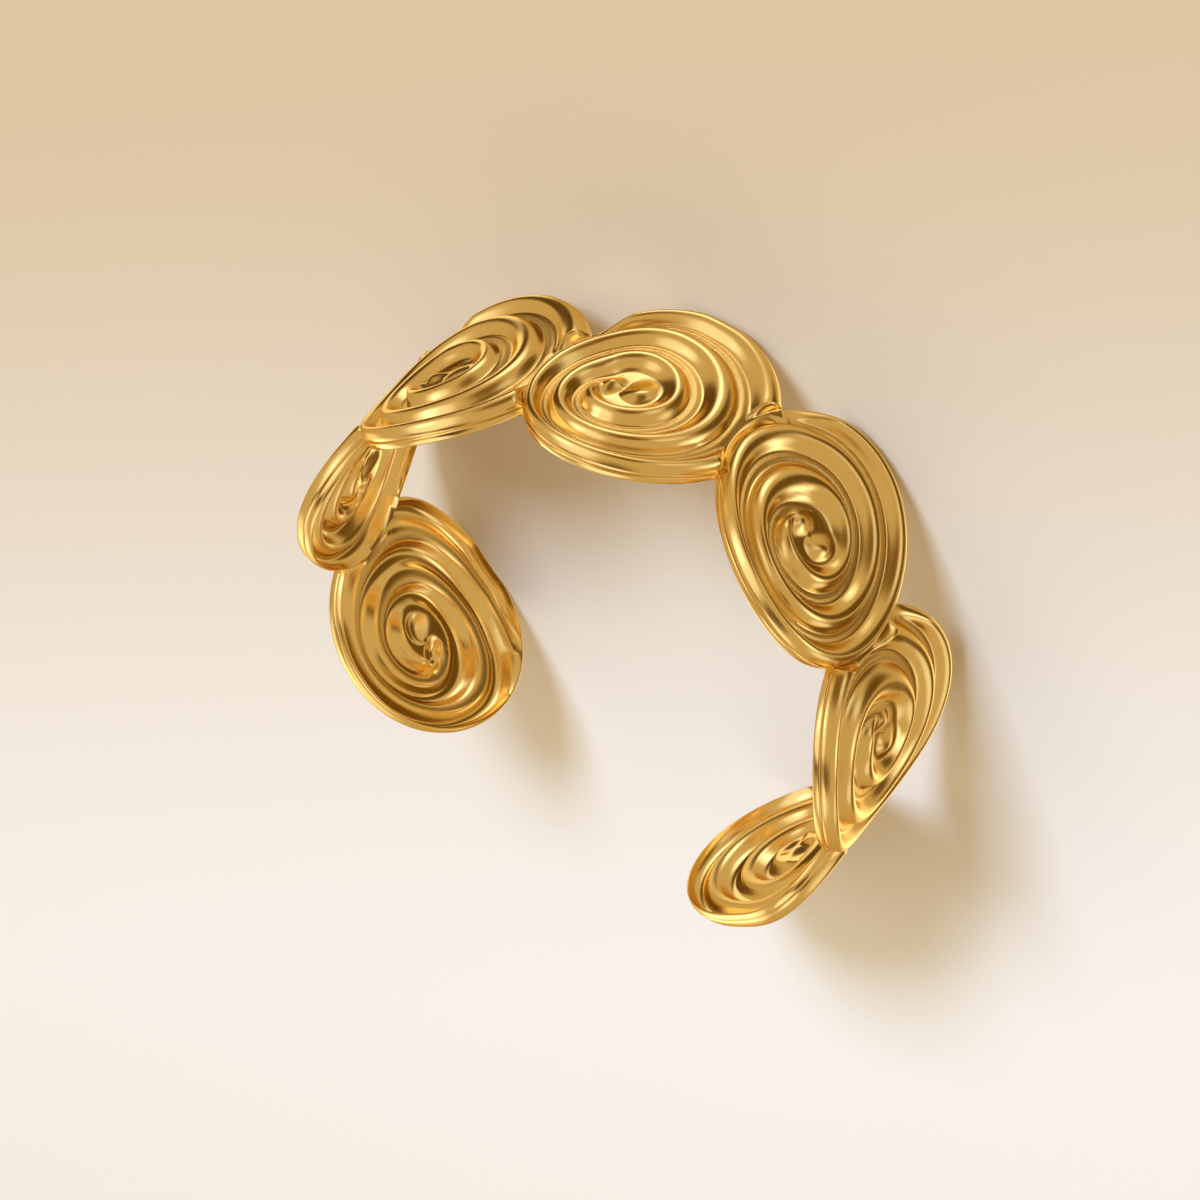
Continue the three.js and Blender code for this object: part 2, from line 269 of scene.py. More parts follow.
@dataclass
class DiscChain:
    """The flat layout: seven discs, and the arc that each two neighbours share."""

    discs: tuple[Disc, ...] = (
        Disc(-67.4, 12.3, 13.2, 0.083, 18, 0.020, 11, -2.4, 1.6),
        Disc(-43.4, 14.4, 12.5, 0.063, -42, 0.024, 55, -2.2, 1.6),
        Disc(-22.0, 14.7, 13.0, 0.018, -12, 0.020, -43, -2.6, 0.9),
        Disc(0.0, 13.0, 12.6, 0.093, -56, 0.004, 19, -2.9, 1.4),
        Disc(22.3, 13.4, 13.05, 0.057, 48, 0.004, 56, -0.9, 1.5),
        Disc(46.7, 15.1, 14.1, 0.055, -32, 0.004, -30, -0.9, 0.6),
        Disc(73.9, 13.2, 13.3, 0.199, -29, 0.060, 38, -0.8, -0.4))
    on_top: tuple[int, ...] = (1, 2, 3, 4, 4, 5)
    seam_steps: int = 24
    rim_steps: int = 132
    halvings: int = 40
    tip_at: float = 212.0
    seams: list[np.ndarray] = field(init=False)

    def __post_init__(self) -> None:
        """Works out the shared arcs."""
        self.seams = [self.shared_arc(i) for i in range(len(self.on_top))]

    def shared_arc(self, i: int) -> np.ndarray:
        """The arc between disc i and the next, from its notch at low z to the one at high z.

        It is the upper disc's own rim, between the angles where that rim crosses the lower
        disc's, each found by halving a step of a fine scan.

        Args:
            i: The first disc of the pair.

        Returns:
            Points (seam_steps + 1, 2).
        """
        top = self.on_top[i]
        upper, lower = self.discs[top], self.discs[i + 1 if top == i else i]
        scan = np.linspace(0, TAU, ROUND_STEPS + 1)
        inside = lower.holds(upper.rim(scan))
        at = np.nonzero(inside[1:] != inside[:-1])[0]
        low, high = scan[at], scan[at + 1]
        start = inside[at]
        for _ in range(self.halvings):
            half = (low + high) / 2
            same = lower.holds(upper.rim(half)) == start
            low, high = np.where(same, half, low), np.where(same, high, half)
        cross = low[np.argsort(upper.rim(low)[:, 1])]
        sweep = (cross[1] - cross[0] + math.pi) % TAU - math.pi
        return upper.rim(cross[0] + sweep * np.linspace(0, 1, self.seam_steps + 1))

    def rim_of(self, i: int) -> tuple[np.ndarray, np.ndarray]:
        """One disc's whole rim, from the tip of its coil round through rising angles.

        Args:
            i: The disc.

        Returns:
            The rim's points (n, 2), and for each its place along a shared arc, or -1 on a free
            rim. A place counts 1000 for each seam before it, so neighbours differ by 1.
        """
        disc = self.discs[i]
        before = self.seams[i - 1] if i > 0 else None
        after = self.seams[i] if i < len(self.seams) else None

        def run(begin: float, end: float) -> np.ndarray:
            """The free rim from one angle round to another.

            Args:
                begin: The first point's angle.
                end: The angle before which the points stop.

            Returns:
                Points (count, 2), without the one at the end.
            """
            sweep = (end - begin) % TAU or TAU
            count = max(3, round(self.rim_steps * sweep / TAU))
            return disc.rim(begin + sweep * np.arange(count) / count)

        start = math.radians(self.tip_at) if before is None else float(disc.angle_of(before[0]))
        last = start if before is None else float(disc.angle_of(before[-1]))
        codes = np.arange(self.seam_steps + 1)
        pieces: list[np.ndarray] = []
        marks: list[np.ndarray] = []
        if after is None:
            pieces.append(run(start, last))
            marks.append(np.full(len(pieces[-1]), -1))
        else:
            pieces += [run(start, float(disc.angle_of(after[0]))), after,
                       run(float(disc.angle_of(after[-1])), last)[1:]]
            marks += [np.full(len(pieces[0]), -1), 1000 * i + codes, np.full(len(pieces[2]), -1)]
        if before is not None:
            pieces[0] = pieces[0][1:]
            marks[0] = marks[0][1:]
            pieces.insert(0, before[:1])
            marks.insert(0, np.array([1000 * (i - 1)]))
            pieces.append(before[:0:-1])
            marks.append(1000 * (i - 1) + codes[:0:-1])
        return np.concatenate(pieces), np.concatenate(marks)


# ---- the coil ---------------------------------------------------------------------------------
@dataclass
class Coil:
    """The spiral relief of a disc, from the rim (depth 0) to the eye (depth 1).

    Depths are parts of the radius. The second turn steps in behind the blunt tip of the first,
    each further turn goes in by the pitch, with one more step near the eye, and all turns lie a
    little to one side. Round the eye the turns give way to two round knobs, which stand
    opposite each other and are twisted about the eye like commas.
    """

    relief: float = 1.4
    tip_turn: float = 0.08
    step: float = 0.14
    step_from: float = -0.1
    step_turn: float = 0.14
    pitch: float = 0.3
    eye_step: float = 0.15
    eye_from: float = 1.65
    eye_over: float = 0.35
    sway: float = 0.095
    sway_at: float = 75.0
    sway_from: float = 1.75
    sway_over: float = 0.4
    turns: int = 3
    slim: float = 0.2
    knob: float = 0.52
    knob_out: float = 0.14
    knob_size: float = 0.17
    knob_turn: float = 0.45
    knob_twist: float = 3.0
    curl_from: float = 0.36
    curl_over: float = 0.17
    outer_section: tuple[tuple[float, float], ...] = (
        (0.0, 0.07), (0.04, 0.16), (0.10, 0.43), (0.17, 0.72), (0.26, 0.93), (0.36, 1.0),
        (0.46, 0.94), (0.55, 0.75), (0.63, 0.48), (0.69, 0.25), (0.73, 0.14), (0.77, 0.10),
        (0.81, 0.12), (0.86, 0.17), (0.90, 0.17), (0.95, 0.11), (1.0, 0.07))
    inner_section: tuple[tuple[float, float], ...] = (
        (0.0, 0.08), (0.07, 0.26), (0.16, 0.68), (0.27, 0.93), (0.38, 1.0), (0.52, 0.86),
        (0.64, 0.42), (0.74, 0.12), (0.87, 0.10), (1.0, 0.08))

    def foot(self, turns: np.ndarray) -> np.ndarray:
        """Depth of the coil's outer foot after so many turns.

        The first turn runs along the rim and the last one closes round the eye: a smooth step
        behind the tip, plus the pitch for each turn, plus the step near the eye, plus a cosine
        wave once a turn that sways the turns to one side and fades before the eye.

        Args:
            turns: Turns on from the tip.

        Returns:
            The foot's depth at each.
        """
        step = self.step * smooth((turns - 1 - self.step_from) / self.step_turn)
        on = np.clip(turns - 1, 0, self.turns - 1)
        at = math.radians(self.sway_at)
        sway = self.sway * (np.cos(TAU * on - at) - math.cos(at))
        return (step + self.pitch * on
                + self.eye_step * smooth((on - self.eye_from) / self.eye_over)
                + sway * (1 - smooth((on - self.sway_from) / self.sway_over)))

    def phase(self, depth: np.ndarray, turn: np.ndarray) -> np.ndarray:
        """How many coil sections lie outside a point, counted with the part of its own.

        Args:
            depth: Depth in from the rim as a part of the radius.
            turn: Part of a turn on from the tip.

        Returns:
            The phase; its whole part is the coil's turn there and the rest the way across it.
        """
        result = np.where(depth < self.foot(turn), 0.0, float(self.turns))
        for k in range(self.turns):
            outer, inner = self.foot(k + turn), self.foot(k + 1 + turn)
            width = np.maximum(inner - outer, 1e-6)
            here = (depth >= outer) & (depth < inner)
            result = np.where(here, k + (depth - outer) / width, result)
        return result

    def height(self, depth: np.ndarray, turn: np.ndarray, side: Side) -> np.ndarray:
        """The relief in millimetres: the section at the phase's part, faded out at the tip.

        Args:
            depth: Depth in from the rim as a part of the radius.
            turn: Part of a turn on from the tip.
            side: The face of the sheet.

        Returns:
            The height at each point.
        """
        table = np.array(self.outer_section if side is Side.OUTER else self.inner_section)
        phase = self.phase(depth, turn)
        whole = np.floor(phase + 1e-9)
        across = rounded_line(phase - whole, table[:, 0], table[:, 1])
        width = self.foot(whole + turn + 1) - self.foot(whole + turn)
        across = across * np.clip(width / self.slim, 0, 1)
        inside = smooth((self.curl_from - (1 - depth)) / self.curl_over)
        across = across + (self.curl(depth, turn) - across) * inside
        return self.relief * smooth((whole + turn) / self.tip_turn) * across

    def curl(self, depth: np.ndarray, turn: np.ndarray) -> np.ndarray:
        """The eye's two round knobs, which curl about each other.

        Each is a smooth bump round a point to one side of the eye, and the angle it is read at
        grows with the distance from the eye, which twists both like commas.

        Args:
            depth: Depth in from the rim as a part of the radius.
            turn: Part of a turn on from the tip.

        Returns:
            The height at each point, as a part of the relief.
        """
        out = 1 - depth
        angle = TAU * (turn - self.knob_turn) + self.knob_twist * out
        x, y = out * np.cos(angle), out * np.sin(angle)
        away = np.minimum(np.hypot(x - self.knob_out, y), np.hypot(x + self.knob_out, y))
        return self.knob * (1 - smooth(away / self.knob_size))


# ---- finishes ---------------------------------------------------------------------------------
@dataclass(frozen=True)
class GoldPlate:
    """Warm gold plating on pressed steel.

    The satin coils spread a highlight into a soft streak; the grooves keep the press's fine
    grain, which sparkles; the rims and the inside are polished by wear and tumbling. Seen at a
    glancing angle the plating stays warm instead of turning white. The groove's two places are
    parts of a coil section, and the cloud is how far the roughness wanders either way.
    """

    name: str
    colour: str = "FBE0A0"
    # deep: a deeper gold painted into the grooves as shade
    deep: str = "F8DA90"
    glancing: str = "F4DAA8"
    roughness: float = 0.22
    cloud: tuple[float, float] = (-0.03, 0.04)
    cloud_mm: float = 7.0
    groove: tuple[float, float] = (0.7, 0.84)
    groove_roughness: float = 0.36
    groove_shade_share: float = 0.6
    grain_mm: float = 0.14
    grain: float = 0.5
    satin_mm: float = 0.5
    satin_share: float = 0.06
    bump_mm: float = 0.1

    def material(self) -> bpy.types.Material:
        """Builds the node material.

        Returns:
            The material; V of the piece's UV map counts coil sections, so its part tells how far
            across the coil a point lies.
        """
        mat = bpy.data.materials.new(self.name)
        mat.use_nodes = True
        tree = mat.node_tree
        tree.nodes.clear()
        uv = add_node(tree, "ShaderNodeUVMap", uv_map="coil")
        split = add_node(tree, "ShaderNodeSeparateXYZ", {0: uv.outputs[0]})
        part = add_node(tree, "ShaderNodeMath", {0: split.outputs[1]}, operation="FRACT")
        groove = add_node(tree, "ShaderNodeMapRange", {"Value": part.outputs[0]},
                          {"From Min": self.groove[0], "From Max": self.groove[1]},
                          interpolation_type="SMOOTHSTEP")
        place = add_node(tree, "ShaderNodeTexCoord")
        grain = add_node(tree, "ShaderNodeTexNoise", {"Vector": place.outputs["Object"]},
                         {"Scale": 0.5 / (self.grain_mm * MM), "Detail": 3.0,
                          "Roughness": 0.6})
        cloud = add_node(tree, "ShaderNodeTexNoise", {"Vector": place.outputs["Object"]},
                         {"Scale": 1 / (self.cloud_mm * MM), "Detail": 2.0})
        satin = add_node(tree, "ShaderNodeTexNoise", {"Vector": place.outputs["Object"]},
                         {"Scale": 1 / (self.satin_mm * MM), "Detail": 2.0})
        mix = add_node(tree, "ShaderNodeMix", data_type="RGBA")
        # Painted shade: part of the deep colour is mixed into the grooves
        soft = add_node(tree, "ShaderNodeMath", {0: groove.outputs[0]},
                        {1: self.groove_shade_share}, operation="MULTIPLY")
        tree.links.new(soft.outputs[0], mix.inputs[0])
        mix.inputs[6].default_value = linear(self.colour)
        mix.inputs[7].default_value = linear(self.deep)
        rough = add_node(tree, "ShaderNodeMapRange", {"Value": cloud.outputs[0]},
                         {"From Min": 0.3, "From Max": 0.7,
                          "To Min": self.roughness + self.cloud[0],
                          "To Max": self.roughness + self.cloud[1]})
        worn = add_node(tree, "ShaderNodeMix", {0: groove.outputs[0], 2: rough.outputs[0]},
                        {3: self.groove_roughness}, data_type="FLOAT")
        fleck = add_node(tree, "ShaderNodeMath", {0: grain.outputs[0], 1: groove.outputs[0]},
                         operation="MULTIPLY")
        both = add_node(tree, "ShaderNodeMath", {0: satin.outputs[0], 2: fleck.outputs[0]},
                        {1: self.satin_share}, operation="MULTIPLY_ADD")
        bump = add_node(tree, "ShaderNodeBump", {"Height": both.outputs[0]},
                        {"Strength": self.grain, "Distance": self.bump_mm * MM})
        shader = add_node(tree, "ShaderNodeBsdfPrincipled",
                          {"Base Color": mix.outputs[2], "Roughness": worn.outputs[0],
                           "Normal": bump.outputs[0]},
                          {"Metallic": 1.0, "Specular Tint": linear(self.glancing)})
        add_node(tree, "ShaderNodeOutputMaterial", {"Surface": shader.outputs[0]})
        return mat


@dataclass(frozen=True)
class PaintedBoard:
    """The matt cream board that the bangle lies on, with painted shade: its colour darkens towards
    one side.
    """

    name: str = "cream_board"
    colour: str = "F3F2F1"
    # painted shade: the darker colour the board takes towards one side
    tan: str = "CDB896"
    toward: tuple[float, float, float] = (0.507, -0.862, 0.0)
    shade_from_mm: float = -75.0
    shade_to_mm: float = 70.0
    roughness: float = 0.6

    def material(self) -> bpy.types.Material:
        """Builds a plain matt material whose colour slowly darkens to the painted shade."""
        mat = bpy.data.materials.new(self.name)
        mat.use_nodes = True
        tree = mat.node_tree
        tree.nodes.clear()
        place = add_node(tree, "ShaderNodeTexCoord")
        along = add_node(tree, "ShaderNodeVectorMath", {0: place.outputs["Object"]},
                         {1: self.toward}, operation="DOT_PRODUCT")
        # Painted shade: the colour darkens along this direction, between the two distances
        part = add_node(tree, "ShaderNodeMapRange", {"Value": along.outputs["Value"]},
                        {"From Min": self.shade_from_mm * MM, "From Max": self.shade_to_mm * MM},
                        interpolation_type="SMOOTHSTEP")
        mix = add_node(tree, "ShaderNodeMix", {0: part.outputs[0]},
                       {6: linear(self.colour), 7: linear(self.tan)}, data_type="RGBA")
        shader = add_node(tree, "ShaderNodeBsdfPrincipled", {"Base Color": mix.outputs[2]},
                          {"Roughness": self.roughness})
        add_node(tree, "ShaderNodeOutputMaterial", {"Surface": shader.outputs[0]})
        return mat


# ---- the cuff ---------------------------------------------------------------------------------
@dataclass
class SpiralCuff:
    """The whole cuff as one closed skin: outer face, inner face and rounded rim.

    Sizes are in millimetres, shares of a section or of the radius as parts of 1, and the crease
    angle, past which the shading breaks, in degrees. The crest is where a section is highest;
    the knobs and the rim count as crest, so the grooves' grain stays off them.
    """

    path: WristPath = field(default_factory=WristPath)
    chain: DiscChain = field(default_factory=DiscChain)
    coil: Coil = field(default_factory=Coil)
    sheet: float = 0.9
    edge: float = 0.22
    eye_rings: int = 4
    rim_hold: int = 4
    seam_draw: float = 0.12
    seam_fall: float = 0.07
    least_fall: float = 0.002
    least_cover: float = 0.03
    crest: float = 0.4
    crease: float = 60.0
    across: dict[Side, tuple[float, ...]] = field(default_factory=lambda: {
        Side.OUTER: (0.0, 0.04, 0.09, 0.15, 0.22, 0.3, 0.38, 0.46, 0.54, 0.6, 0.66, 0.71, 0.75,
                     0.8, 0.85, 0.9, 0.95),
        Side.INNER: (0.0, 0.09, 0.18, 0.27, 0.36, 0.46, 0.56, 0.65, 0.74, 0.87)})

    def net(self, i: int, side: Side) -> dict[str, np.ndarray]:
        """One disc's net of flat points along the coil.

        Rays run from the eye to each rim point. The lines across them follow the coil, so one
        that leaves the last ray comes in again on the first, one turn further in. Each point's
        reach is its part of the smoothed reach of the disc's own rim, plus what that rim differs
        from it, dying away inwards as the fourth power. Where an upper disc covers the rim, the
        outer points draw together inside the shared arc, and the relief falls just before it.

        Args:
            i: The disc.
            side: The face of the sheet, which sets how fine the net is.

        Returns:
            Each point's s and z, depth, turn and share of the relief, the triangles, the phase
            at each of their corners, the rim's point numbers and its seam marks.
        """
        disc = self.chain.discs[i]
        rim, marks = self.chain.rim_of(i)
        n = len(rim)
        away = rim - disc.eye
        reach = np.hypot(away[:, 0], away[:, 1])
        angle = np.unwrap(np.arctan2(away[:, 1], away[:, 0]))
        turn = (angle - angle[0]) / TAU
        own = disc.own_reach(angle)
        own = np.where(own > reach + self.least_cover, own, reach)
        body = self.smooth_reach(angle, own, 2)
        cut = self.cover_depth(reach, own, body)[:, None]
        m = len(self.across[side])
        lines = self.coil.turns * m
        eye_depth = float(self.coil.foot(np.array(float(self.coil.turns))))
        line = np.arange(lines + 1)
        lap = np.minimum(line // m, self.coil.turns - 1)
        part = np.append(np.array(self.across[side]), 1.0)[line - lap * m]
        outer, inner = self.coil.foot(lap + turn[:, None]), self.coil.foot(lap + 1 + turn[:, None])
        depth = outer + (inner - outer) * part
        inward = eye_depth + (1 - eye_depth) * np.arange(1, self.eye_rings) / self.eye_rings
        depth = np.hstack([depth, np.broadcast_to(inward, (n, len(inward)))])
        depth[:, 0] = 0.0
        drawn = cut + self.seam_draw
        depth = np.where(depth < drawn, cut + depth * self.seam_draw / drawn, depth)
        fall = smooth((depth - cut) / np.clip(cut, self.least_fall, self.seam_fall))
        columns = depth.shape[1]
        out = self.out_at(depth, own[:, None], body[:, None])
        flat = disc.eye + out[..., None] * np.stack([np.cos(angle), np.sin(angle)], -1)[:, None]
        number = np.arange(n * columns).reshape(n, columns)
        number[0, 1:m + 1] = number[0, 0]
        wrap = np.append(number[0, np.minimum(line + m, lines)], number[0, lines + 1:])
        grid = np.vstack([number, wrap])
        rows = np.append(turn, 1.0)
        deep = np.vstack([depth, np.append(depth[0, np.minimum(line + m, lines)],
                                           depth[0, lines + 1:])])
        tally = self.coil.phase(deep, rows[:, None] * np.ones(columns))
        knobs = deep > 1 - self.coil.curl_from + self.coil.curl_over
        tally = np.where(knobs, self.coil.turns - 1 + self.crest, tally)
        a, b = (slice(0, n), slice(0, columns - 1)), (slice(1, n + 1), slice(0, columns - 1))
        c, d = (slice(1, n + 1), slice(1, columns)), (slice(0, n), slice(1, columns))
        tris = np.concatenate([np.stack([grid[q].ravel() for q in t], 1)
                               for t in ((a, b, c), (a, c, d))])
        tally3 = np.concatenate([np.stack([tally[q].ravel() for q in t], 1)
                                 for t in ((a, b, c), (a, c, d))])
        centre = n * columns
        fan = np.stack([grid[:n, -1], grid[1:, -1], np.full(n, centre)], 1)
        tris = np.vstack([tris, fan])
        tally3 = np.vstack([tally3, np.stack([tally[:n, -1], tally[1:, -1], tally[:n, -1]], 1)])
        good = ((tris[:, 0] != tris[:, 1]) & (tris[:, 1] != tris[:, 2])
                & (tris[:, 2] != tris[:, 0]))
        points = np.vstack([flat.reshape(-1, 2), disc.eye])
        return {"points": points, "depth": np.append(depth.ravel(), 1.0),
                "fall": np.append(fall.ravel(), 1.0),
                "turn": np.append(np.repeat(turn, columns), 0.0), "tris": tris[good],
                "tally": tally3[good], "rim": grid[:n, 0], "marks": marks, "reach": reach,
                "rim_points": rim}

    def out_at(self, depth: np.ndarray, own: np.ndarray, body: np.ndarray) -> np.ndarray:
        """How far from the eye a point lies at a depth in from the disc's own rim."""
        return (1 - depth) * body + (own - body) * (1 - depth) ** self.rim_hold

    def cover_depth(self, reach: np.ndarray, own: np.ndarray, body: np.ndarray) -> np.ndarray:
        """The depth at which an upper disc's rim covers this one, found in a few steps.

        Args:
            reach: How far the rim that is left lies from the eye.
            own: How far the disc's own rim lies from the eye.
            body: The smoothed reach of the disc's own rim.

        Returns:
            The depth at each ray, 0 where the rim is free.
        """
        depth = 1 - reach / own
        for _ in range(4):
            depth = depth + (self.out_at(depth, own, body) - reach) / own
        return np.where(own > reach, depth, 0.0)

    @staticmethod
    def smooth_reach(angle: np.ndarray, reach: np.ndarray, waves: int) -> np.ndarray:
        """The reach of the rim from the eye without its notches: its mean and first waves.

        Args:
            angle: The rays' rising angles, over one turn.
            reach: The reach at each ray.
            waves: How many waves to keep.

        Returns:
            The smoothed reach at each ray.
        """
        ahead = np.append(angle[1:], angle[0] + TAU)
        behind = np.append(angle[-1] - TAU, angle[:-1])
        weight = (ahead - behind) / (2 * TAU)
        result = np.full_like(reach, (weight * reach).sum())
        for k in range(1, waves + 1):
            for wave in (np.cos(k * angle), np.sin(k * angle)):
                result = result + 2 * (weight * reach * wave).sum() * wave
        return result

    def relief(self, net: dict[str, np.ndarray], side: Side) -> np.ndarray:
        """The height of each point of a net over the sheet's outer face without relief.

        Args:
            net: The disc's net.
            side: The face of the sheet.

        Returns:
            Heights in millimetres, 0 on the rim.
        """
        height = self.coil.height(net["depth"], net["turn"], side) * net["fall"]
        height[net["rim"]] = 0.0
        return height

    def build(self) -> bpy.types.Object:
        """Makes the cuff's mesh and puts it in the scene.

        Returns:
            The cuff, at the origin, its place in its mesh.
        """
        spots: list[np.ndarray] = []
        tris: list[np.ndarray] = []
        tallies: list[np.ndarray] = []
        finish: list[np.ndarray] = []
        count = 0
        for i in range(len(self.chain.discs)):
            faces: dict[Side, np.ndarray] = {}
            for side in Side:
                net = self.net(i, side)
                inset = np.where(net["marks"] < 0, self.edge, 0.0)
                toward = (self.chain.discs[i].eye - net["rim_points"]) / net["reach"][:, None]
                flat = net["points"].copy()
                flat[net["rim"]] = net["rim_points"] + toward * inset[:, None]
                height = self.relief(net, side) - (self.sheet if side is Side.INNER else 0.0)
                spots.append(self.path.bend(flat[:, 0], flat[:, 1], height))
                order = [0, 2, 1] if side is Side.OUTER else [0, 1, 2]
                tris.append(net["tris"][:, order] + count)
                tallies.append(net["tally"][:, order])
                finish.append(np.full(len(net["tris"]), 0 if side is Side.OUTER else 1))
                faces[side] = net["rim"] + count
                count += len(flat)
            count = self.add_rim(net, faces, inset, toward, spots, tris, tallies, finish,
                                 count)
        place = np.concatenate(spots)
        box = (place[:, :2].min(0) + place[:, :2].max(0)) / 2
        place[:, :2] -= box
        return self.to_object(place, np.concatenate(tris), np.concatenate(tallies),
                              np.concatenate(finish))

    def add_rim(self, net: dict[str, np.ndarray], faces: dict[Side, np.ndarray],
                inset: np.ndarray, toward: np.ndarray, spots: list[np.ndarray],
                tris: list[np.ndarray], tallies: list[np.ndarray], finish: list[np.ndarray],
                count: int) -> int:
        """Adds the rounded rim of one disc where it is free.

        Two quarter rounds of the edge radius with a straight wall between them: inset times
        (1 - sin) and drop times (1 - cos) of an angle from 0 to 90 degrees.

        Args:
            net: The disc's net.
            faces: The rim's point numbers on the outer and the inner face.
            inset: How far the faces stop short of the rim at each rim point.
            toward: The way from each rim point to the eye.
            spots: Point blocks, added to.
            tris: Triangle blocks, added to.
            tallies: Phase blocks, added to.
            finish: Material number blocks, added to.
            count: How many points there are so far.

        Returns:
            How many points there are now.
        """
        marks = net["marks"]
        n = len(marks)
        quarter = np.radians([30.0, 60.0, 90.0])
        pull = np.concatenate([1 - np.sin(quarter), 1 - np.sin(quarter[::-1])])
        drop = np.concatenate([self.edge * (1 - np.cos(quarter)),
                               self.sheet - self.edge * (1 - np.cos(quarter[::-1]))])
        rows = [faces[Side.OUTER]]
        for p, q in zip(pull, drop):
            ring = net["rim_points"] + toward * (inset * p)[:, None]
            spots.append(self.path.bend(ring[:, 0], ring[:, 1], np.full(n, -q)))
            rows.append(np.arange(n) + count)
            count += n
        rows.append(faces[Side.INNER])
        grid = np.stack(rows)
        ahead = np.roll(np.arange(n), -1)
        shared = (marks >= 0) & (marks[ahead] >= 0) & (abs(marks - marks[ahead]) == 1)
        keep = ~shared
        a, b = grid[:-1][:, keep], grid[:-1][:, ahead[keep]]
        c, d = grid[1:][:, ahead[keep]], grid[1:][:, keep]
        for t in ((a, b, c), (a, c, d)):
            tris.append(np.stack([q.ravel() for q in t], 1))
            tallies.append(np.full((a.size, 3), self.crest))
            finish.append(np.full(a.size, 2))
        return count

    def to_object(self, place: np.ndarray, tris: np.ndarray, tally: np.ndarray,
                  finish: np.ndarray) -> bpy.types.Object:
        """Puts the arrays into a mesh and welds the points that the discs share.

        Args:
            place: Points in millimetres.
            tris: Triangles by point number.
            tally: The coil phase at each triangle's corners.
            finish: Each triangle's material number.

        Returns:
            The cuff's object.
        """
        key = np.round(place * WELD_STEPS).astype(np.int64)
        _, first, same = np.unique(key, axis=0, return_index=True, return_inverse=True)
        place, tris = place[first], same.reshape(-1)[tris]
        good = ((tris[:, 0] != tris[:, 1]) & (tris[:, 1] != tris[:, 2])
                & (tris[:, 2] != tris[:, 0]))
        tris, tally, finish = tris[good], tally[good], finish[good]
        mesh = bpy.data.meshes.new("spiral_cuff_skin")
        mesh.vertices.add(len(place))
        mesh.vertices.foreach_set("co", (place * MM).astype(np.float32).ravel())
        mesh.loops.add(tris.size)
        mesh.loops.foreach_set("vertex_index", tris.astype(np.int32).ravel())
        mesh.polygons.add(len(tris))
        mesh.polygons.foreach_set("loop_start", np.arange(0, tris.size, 3, dtype=np.int32))
        mesh.polygons.foreach_set("material_index", finish.astype(np.int32))
        mesh.update(calc_edges=True)
        mesh.validate()
        layer = mesh.uv_layers.new(name="coil")
        uv = np.zeros((tris.size, 2), np.float32)
        uv[:, 1] = tally.ravel()
        layer.uv.foreach_set("vector", uv.ravel())
        mesh.shade_smooth()
        mesh.set_sharp_from_angle(angle=math.radians(self.crease))
        piece = bpy.data.objects.new("spiral_cuff_skin", mesh)
        bpy.context.scene.collection.objects.link(piece)
        return piece

    def dress(self, piece: bpy.types.Object) -> None:
        """Gives the outer face, the inner face and the rim their gold.

        Args:
            piece: The cuff.
        """
        for gold in (GoldPlate("gold_plate_satin"),
                     GoldPlate("gold_plate_inside", colour="FFE6A8", roughness=0.2, grain=0.12),
                     GoldPlate("gold_plate_polished_rim", roughness=0.16, grain=0.05)):
            piece.data.materials.append(gold.material())


# ---- the studio -------------------------------------------------------------------------------
@dataclass(frozen=True)
class SoftBox:
    """One area light: where it stands round the cuff, its size and its power."""

    name: str
    azimuth: float
    elevation: float
    distance: float
    width: float
    height: float
    power: float
    colour: str


@dataclass(frozen=True)
class Glow:
    """A round patch of the room that is brighter or darker than the rest, seen in the gold."""

    azimuth: float
    elevation: float
    spread: float
    soft: float
    colour: str
    strength: float


